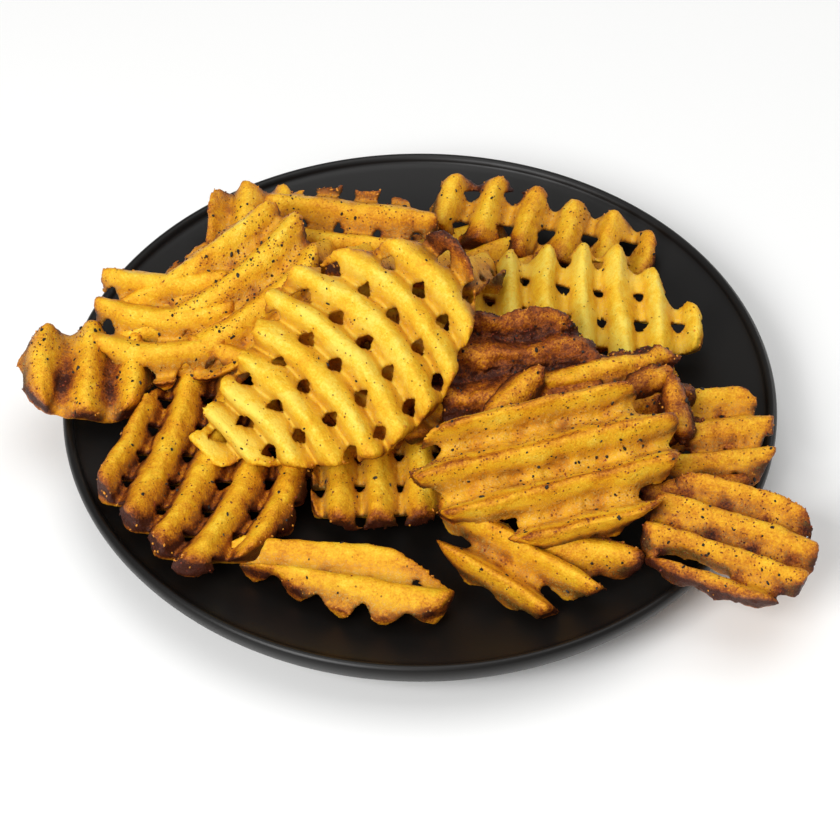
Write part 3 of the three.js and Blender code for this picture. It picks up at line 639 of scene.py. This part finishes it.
# Cuts one fry flat, in millimetres, from a block with a little room round it
def cutFlat(fry, tree, crust, seed):
    sideRoom, faceRoom = 4, 1.6
    reach = [fry["length"] / 2 + sideRoom, fry["width"] / 2 + sideRoom, fry["crest"] + faceRoom]
    middle = [*fry["offset"], 0]
    low = [m - r for m, r in zip(middle, reach)]
    high = [m + r for m, r in zip(middle, reach)]
    steps = [round((b - a) / fry["cell"]) for a, b in zip(low, high)]
    inputs = {name: fry[key] for name, key in plainInputs.items()}
    inputs.update({
        "Offset X": fry["offset"][0], "Offset Y": fry["offset"][1], "Skew": math.radians(fry["skew"]),
        "Seed": seed * 7.3, "Crust": crust, "Low Corner": low, "High Corner": high,
        "Steps X": steps[0], "Steps Y": steps[1], "Steps Z": steps[2]})
    farOff = 999    # where unused trims and slots lie
    trims = fry["trims"] + [(0, farOff)] * (3 - len(fry["trims"]))
    for letter, (angle, distance) in zip("ABC", trims):
        inputs["Trim %s Angle" % letter] = math.radians(angle)
        inputs["Trim %s Distance" % letter] = distance
    slot = (fry["slots"] + [(farOff, farOff, 1, 1)])[0]
    inputs.update(zip(("Slot X", "Slot Y", "Slot Length", "Slot Width"), slot))
    piece = newObject("cutting", bpy.data.meshes.new("cutting"))
    modifier = piece.modifiers.new("waffleCut", "NODES")
    modifier.node_group = tree
    setInputs(modifier, inputs)
    return plainMesh(piece, "fry_" + fry["name"])


def makeFry(fry, tree, crust, seed):
    mesh = cutFlat(fry, tree, crust, seed)
    flat = np.empty(len(mesh.vertices) * 3)
    mesh.vertices.foreach_get("co", flat)
    flat = flat.reshape(-1, 3)
    place = np.array(fryPlace(fry))
    points = restOnPlate(bend(fry, flat) @ place[:3, :3].T + place[:3, 3])
    mesh.vertices.foreach_set("co", (points * mm).ravel())
    # the tone attribute holds the browning together with the painted light and shade
    for key, amounts in (("tone", browningAndShade(fry, flat)), ("spice", np.full(len(flat), fry["spice"]))):
        marks = mesh.attributes.new(key, "FLOAT", "POINT")
        marks.data.foreach_set("value", amounts.astype(np.float32))
    mesh.shade_smooth()
    mesh.update()
    piece = newObject(mesh.name, mesh)
    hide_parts("waffle_fries")
    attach(piece, "root")
    return piece


# Fried potato: a thin crisp crust over pale flesh, golden on the ridges, brown at rims and edges, with
# painted shade in the valleys and in the holes. Its patterns are given by how many fit in a millimetre:
# patches of 10 mm, blotches of 2.4 mm, crumbs of 0.6 mm and dust dots 1 mm apart. The shares say how
# far each one browns the crust; the wall share paints shade in the holes and browns the outline's walls
friedCrust = {
    "flesh": 0.1, "fleshDepth": 2.2 * mm, "fleshRadius": (1.0, 0.62, 0.2),
    "patchesPerMm": 0.10, "blotchesPerMm": 0.42, "crumbsPerMm": 1.7, "dotsPerMm": 0.95,
    "patchShare": 0.22, "blotchShare": 0.16, "crumbShare": 0.24, "rimShare": 0.25, "wallShare": 0.32,
    "browns": [(0.0, "#FADB58"), (0.2, "#F5C42C"), (0.4, "#E9A81A"), (0.58, "#D08413"),
               (0.76, "#974C0E"), (1.0, "#3F1706")],
    # valley is the colour of the painted shade in the valleys
    "valley": "#D2A12C", "paleCrumb": "#EBCB70", "dust": "#5C2008", "dustShare": 0.8,
    "crisp": 0.56, "greasy": 0.32, "bumpDepth": 0.5 * mm, "bumpStrength": 0.8,
}


def friedPotato():
    crust = bpy.data.materials.new("friedPotatoCrust")
    crust.use_nodes = True
    tree = crust.node_tree
    shader = tree.nodes["Principled BSDF"]
    shader.inputs["IOR"].default_value = 1.45
    shader.inputs["Specular IOR Level"].default_value = 0.32
    shader.inputs["Subsurface Weight"].default_value = friedCrust["flesh"]
    shader.inputs["Subsurface Radius"].default_value = friedCrust["fleshRadius"]
    shader.inputs["Subsurface Scale"].default_value = friedCrust["fleshDepth"]
    where = addNode(tree, "ShaderNodeTexCoord").node.outputs["Object"]
    where = addNode(tree, "ShaderNodeVectorMath", {"operation": "SCALE"}, {0: where, "Scale": 1000.0})
    patches = addNode(tree, "ShaderNodeTexNoise", {}, {
        "Vector": where, "Scale": friedCrust["patchesPerMm"], "Detail": 3.0})
    blotches = addNode(tree, "ShaderNodeTexNoise", {}, {
        "Vector": where, "Scale": friedCrust["blotchesPerMm"], "Detail": 4.0, "Roughness": 0.6})
    crumbs = addNode(tree, "ShaderNodeTexNoise", {}, {
        "Vector": where, "Scale": friedCrust["crumbsPerMm"], "Detail": 5.0, "Roughness": 0.65})
    marks = {}
    for name in ("ridge", "rim", "wall", "tone", "spice"):
        marks[name] = addNode(tree, "ShaderNodeAttribute", {"attribute_name": name}).node.outputs["Fac"]

    # how far each spot is browned, from 0 pale to 1 burnt, with the painted shade of the tone attribute and
    # of the walls added in
    brownedAndShaded = marks["tone"]
    for name, pattern in (("patchShare", patches), ("blotchShare", blotches), ("crumbShare", crumbs)):
        share = addNode(tree, "ShaderNodeMapRange", {}, {
            "Value": pattern, "From Min": 0.2, "From Max": 0.8,
            "To Min": -friedCrust[name], "To Max": friedCrust[name]})
        brownedAndShaded = addNode(tree, "ShaderNodeMath", {"operation": "ADD"}, {0: brownedAndShaded, 1: share})
    # the rims brown, and the walls darken: painted shade in the holes, browning along the outline
    for name in ("rim", "wall"):
        share = addNode(tree, "ShaderNodeMath", {"operation": "MULTIPLY"}, {
            0: marks[name], 1: friedCrust[name + "Share"]})
        brownedAndShaded = addNode(tree, "ShaderNodeMath", {"operation": "ADD"}, {0: brownedAndShaded, 1: share})
    ramp = addNode(tree, "ShaderNodeValToRGB", {}, {0: brownedAndShaded})
    colors = ramp.node.color_ramp
    while len(colors.elements) < len(friedCrust["browns"]):
        colors.elements.new(0.5)
    for stop, (position, brown) in zip(colors.elements, friedCrust["browns"]):
        stop.position = position
        stop.color = linearColor(brown)

    # painted shade dulls the valleys, which also hold pale crumbs, apart from the dark fries'
    valley = addNode(tree, "ShaderNodeMapRange", {}, {
        "Value": marks["ridge"], "From Min": 0.1, "From Max": 0.6, "To Min": 0.35, "To Max": 0.0})
    paleFry = addNode(tree, "ShaderNodeMapRange", {}, {
        "Value": marks["tone"], "From Min": 0.45, "From Max": 0.75, "To Min": 1.0, "To Max": 0.0})
    inner = addNode(tree, "ShaderNodeMath", {"operation": "SUBTRACT"}, {0: 1.0, 1: marks["rim"]})
    for share in (paleFry, inner):
        valley = addNode(tree, "ShaderNodeMath", {"operation": "MULTIPLY"}, {0: valley, 1: share})
    pale = addNode(tree, "ShaderNodeMapRange", {}, {
        "Value": crumbs, "From Min": 0.52, "From Max": 0.62, "To Min": 0.0, "To Max": 1.7})
    pale = addNode(tree, "ShaderNodeMath", {"operation": "MULTIPLY"}, {0: pale, 1: valley})

    # paprika dust: fine rusty dots, thick where the fry is well spiced
    dots = addNode(tree, "ShaderNodeTexVoronoi", {}, {
        "Vector": where, "Scale": friedCrust["dotsPerMm"], "Randomness": 1.0}).node.outputs
    dotSize = addNode(tree, "ShaderNodeMapRange", {}, {
        "Value": dots["Distance"], "From Min": 0.15, "From Max": 0.35, "To Min": 1.0, "To Max": 0.0})
    chance = addNode(tree, "ShaderNodeSeparateColor", {}, {0: dots["Color"]})
    cover = addNode(tree, "ShaderNodeMapRange", {}, {
        "Value": blotches, "From Min": 0.4, "From Max": 0.65, "To Min": 0.03, "To Max": 0.6})
    cover = addNode(tree, "ShaderNodeMath", {"operation": "MULTIPLY"}, {0: marks["spice"], 1: cover})
    burnt = addNode(tree, "ShaderNodeMapRange", {}, {
        "Value": marks["tone"], "From Min": 0.55, "From Max": 0.8, "To Min": 0.0, "To Max": 0.35})
    cover = addNode(tree, "ShaderNodeMath", {"operation": "ADD"}, {0: cover, 1: burnt})
    chosen = addNode(tree, "ShaderNodeMath", {"operation": "LESS_THAN"}, {0: chance, 1: cover})
    dust = addNode(tree, "ShaderNodeMath", {"operation": "MULTIPLY"}, {0: dotSize, 1: chosen})
    dust = addNode(tree, "ShaderNodeMath", {"operation": "MULTIPLY"}, {0: dust, 1: friedCrust["dustShare"]})
    color = ramp
    # painted shade in the valleys first, then the pale crumbs and the paprika dust over it
    for share, tint in ((valley, "valley"), (pale, "paleCrumb"), (dust, "dust")):
        color = addNode(tree, "ShaderNodeMix", {"data_type": "RGBA"}, {
            "Factor": share, 6: color, 7: linearColor(friedCrust[tint])}).node.outputs[2]
    tree.links.new(color, shader.inputs["Base Color"])

    # greasy in blotches, crisp between them
    sheen = addNode(tree, "ShaderNodeMapRange", {}, {
        "Value": blotches, "From Min": 0.3, "From Max": 0.7,
        "To Min": friedCrust["greasy"], "To Max": friedCrust["crisp"]})
    tree.links.new(sheen, shader.inputs["Roughness"])
    bump = addNode(tree, "ShaderNodeBump", {}, {
        "Height": crumbs, "Strength": friedCrust["bumpStrength"], "Distance": friedCrust["bumpDepth"]})
    tree.links.new(bump, shader.inputs["Normal"])
    return crust


# Seasoning and crumbs: how many grains a square metre of well spiced crust holds at most, and their
# least and most size in millimetres. spicePower keeps them off plainer fries, and edgeShare puts them
# on rims instead of where the spice is
seasonings = [
    {"name": "pepper", "perArea": 62000, "least": 0.24, "most": 0.64, "spicePower": 1.6, "edgeShare": 0,
     "color": "#17110D", "roughness": 0.6},
    {"name": "paprika", "perArea": 420000, "least": 0.12, "most": 0.34, "spicePower": 2.0, "edgeShare": 0,
     "color": "#7A2F0E", "roughness": 0.7},
    {"name": "crumbs", "perArea": 230000, "least": 0.2, "most": 0.48, "spicePower": 1, "edgeShare": 1,
     "color": "#C8801F", "roughness": 0.6},
]


# Grains scattered over the upper side of the fries
def seasoningTree():
    tree = bpy.data.node_groups.new("seasoning", "GeometryNodeTree")
    for name in ("Per Area", "Least", "Most", "Spice Power", "Edge Share"):
        tree.interface.new_socket(name=name, in_out="INPUT", socket_type="NodeSocketFloat")
    tree.interface.new_socket(name="Seed", in_out="INPUT", socket_type="NodeSocketInt")
    tree.interface.new_socket(name="Fries", in_out="INPUT", socket_type="NodeSocketCollection")
    tree.interface.new_socket(name="Finish", in_out="INPUT", socket_type="NodeSocketMaterial")
    tree.interface.new_socket(name="Geometry", in_out="OUTPUT", socket_type="NodeSocketGeometry")
    given = addNode(tree, "NodeGroupInput").node.outputs
    fries = addNode(tree, "GeometryNodeCollectionInfo", {}, {"Collection": given["Fries"]})
    fries = addNode(tree, "GeometryNodeRealizeInstances", {}, {"Geometry": fries})
    where = addNode(tree, "GeometryNodeInputPosition")

    # how thick they lie: on faces that look up, in drifts of 14 mm, by the spice or by the rim
    normal = addNode(tree, "GeometryNodeInputNormal")
    upward = addNode(tree, "ShaderNodeSeparateXYZ", {}, {0: normal}).node.outputs["Z"]
    upward = addNode(tree, "ShaderNodeMapRange", {}, {"Value": upward, "From Min": -0.2, "From Max": 0.5})
    drifts = addNode(tree, "ShaderNodeTexNoise", {}, {"Vector": where, "Scale": 70.0, "Detail": 2.0})
    drifts = addNode(tree, "ShaderNodeMapRange", {}, {
        "Value": drifts, "From Min": 0.38, "From Max": 0.64, "To Min": 0.12, "To Max": 1.0})
    spice = addNode(tree, "GeometryNodeInputNamedAttribute", {"data_type": "FLOAT"}, {"Name": "spice"})
    spice = addNode(tree, "ShaderNodeMath", {"operation": "POWER"}, {0: spice, 1: given["Spice Power"]})
    rim = addNode(tree, "GeometryNodeInputNamedAttribute", {"data_type": "FLOAT"}, {"Name": "rim"})
    share = addNode(tree, "ShaderNodeMix", {}, {"Factor": given["Edge Share"], "A": spice, "B": rim})
    for factor in (upward, drifts, given["Per Area"]):
        share = addNode(tree, "ShaderNodeMath", {"operation": "MULTIPLY"}, {0: share, 1: factor})
    spots = addNode(tree, "GeometryNodeDistributePointsOnFaces", {}, {
        "Mesh": fries, "Density": share, "Seed": given["Seed"]})

    # one grain: a small lump, stretched and turned at random, and ragged every 0.4 mm
    grain = addNode(tree, "GeometryNodeMeshIcoSphere", {}, {"Radius": 1.0, "Subdivisions": 1})
    size = addNode(tree, "FunctionNodeRandomValue", {"data_type": "FLOAT"}, {
        2: given["Least"], 3: given["Most"], "Seed": given["Seed"]}).node.outputs[1]
    stretch = addNode(tree, "FunctionNodeRandomValue", {"data_type": "FLOAT_VECTOR"}, {
        0: (0.6, 0.6, 0.5), 1: (1.6, 1.0, 0.8), "Seed": 11})
    scale = addNode(tree, "ShaderNodeVectorMath", {"operation": "SCALE"}, {0: stretch, "Scale": size})
    scale = addNode(tree, "ShaderNodeVectorMath", {"operation": "SCALE"}, {0: scale, "Scale": mm})
    spin = addNode(tree, "FunctionNodeRandomValue", {"data_type": "FLOAT_VECTOR"}, {
        0: (0.0, 0.0, 0.0), 1: (6.28, 6.28, 6.28), "Seed": 5})
    grains = addNode(tree, "GeometryNodeInstanceOnPoints", {}, {
        "Points": spots, "Instance": grain, "Rotation": spin, "Scale": scale})
    grains = addNode(tree, "GeometryNodeRealizeInstances", {}, {"Geometry": grains})
    ragged = addNode(tree, "ShaderNodeTexNoise", {}, {"Vector": where, "Scale": 2600.0})
    ragged = addNode(tree, "ShaderNodeVectorMath", {"operation": "SUBTRACT"}, {
        0: ragged.node.outputs["Color"], 1: (0.5, 0.5, 0.5)})
    ragged = addNode(tree, "ShaderNodeVectorMath", {"operation": "SCALE"}, {0: ragged, "Scale": 0.4 * mm})
    grains = addNode(tree, "GeometryNodeSetPosition", {}, {"Geometry": grains, "Offset": ragged})
    grains = addNode(tree, "GeometryNodeSetMaterial", {}, {"Geometry": grains, "Material": given["Finish"]})
    addNode(tree, "NodeGroupOutput", {}, {"Geometry": grains})
    return tree


# Ground spice and crumbs: dry and dull, each grain a little lighter or darker
def grainFinish(season):
    finish = bpy.data.materials.new(season["name"] + "Grains")
    finish.use_nodes = True
    tree = finish.node_tree
    shader = tree.nodes["Principled BSDF"]
    shader.inputs["Roughness"].default_value = season["roughness"]
    where = addNode(tree, "ShaderNodeTexCoord").node.outputs["Object"]
    shades = addNode(tree, "ShaderNodeTexNoise", {}, {"Vector": where, "Scale": 700.0})
    shades = addNode(tree, "ShaderNodeMapRange", {}, {
        "Value": shades, "From Min": 0.3, "From Max": 0.7, "To Min": 0.6, "To Max": 1.5})
    color = addNode(tree, "ShaderNodeVectorMath", {"operation": "SCALE"}, {
        0: linearColor(season["color"])[:3], "Scale": shades})
    tree.links.new(color, shader.inputs["Base Color"])
    return finish


def sprinkle(season, tree, fries, seed):
    piece = newObject("scattering", bpy.data.meshes.new("scattering"))
    modifier = piece.modifiers.new("seasoning", "NODES")
    modifier.node_group = tree
    setInputs(modifier, {
        "Per Area": season["perArea"], "Least": season["least"], "Most": season["most"],
        "Spice Power": season["spicePower"], "Edge Share": season["edgeShare"], "Seed": seed,
        "Fries": fries, "Finish": grainFinish(season)})
    grains = newObject(season["name"], plainMesh(piece, season["name"]))
    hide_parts("waffle_fries")
    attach(grains, "root")
    return grains


print("camera and studio")
makeCamera()
makeStudio()
print("plate")
makePlate()
print("fries")
cutTree = waffleCutTree(ridgeProfileTree())
crust = friedPotato()
seasonedFries = bpy.data.collections.new("seasonedFries")
for number, values in enumerate(shownFries + innerFries):
    fry = {**plainFry, **values}
    fryPiece = makeFry(fry, cutTree, crust, number + 1)
    if fry["seasoned"]:
        seasonedFries.objects.link(fryPiece)
    print(fryPiece.name, len(fryPiece.data.polygons))
print("seasoning")
grainTree = seasoningTree()
for number, season in enumerate(seasonings):
    grains = sprinkle(season, grainTree, seasonedFries, number + 3)
    print(grains.name, len(grains.data.polygons))
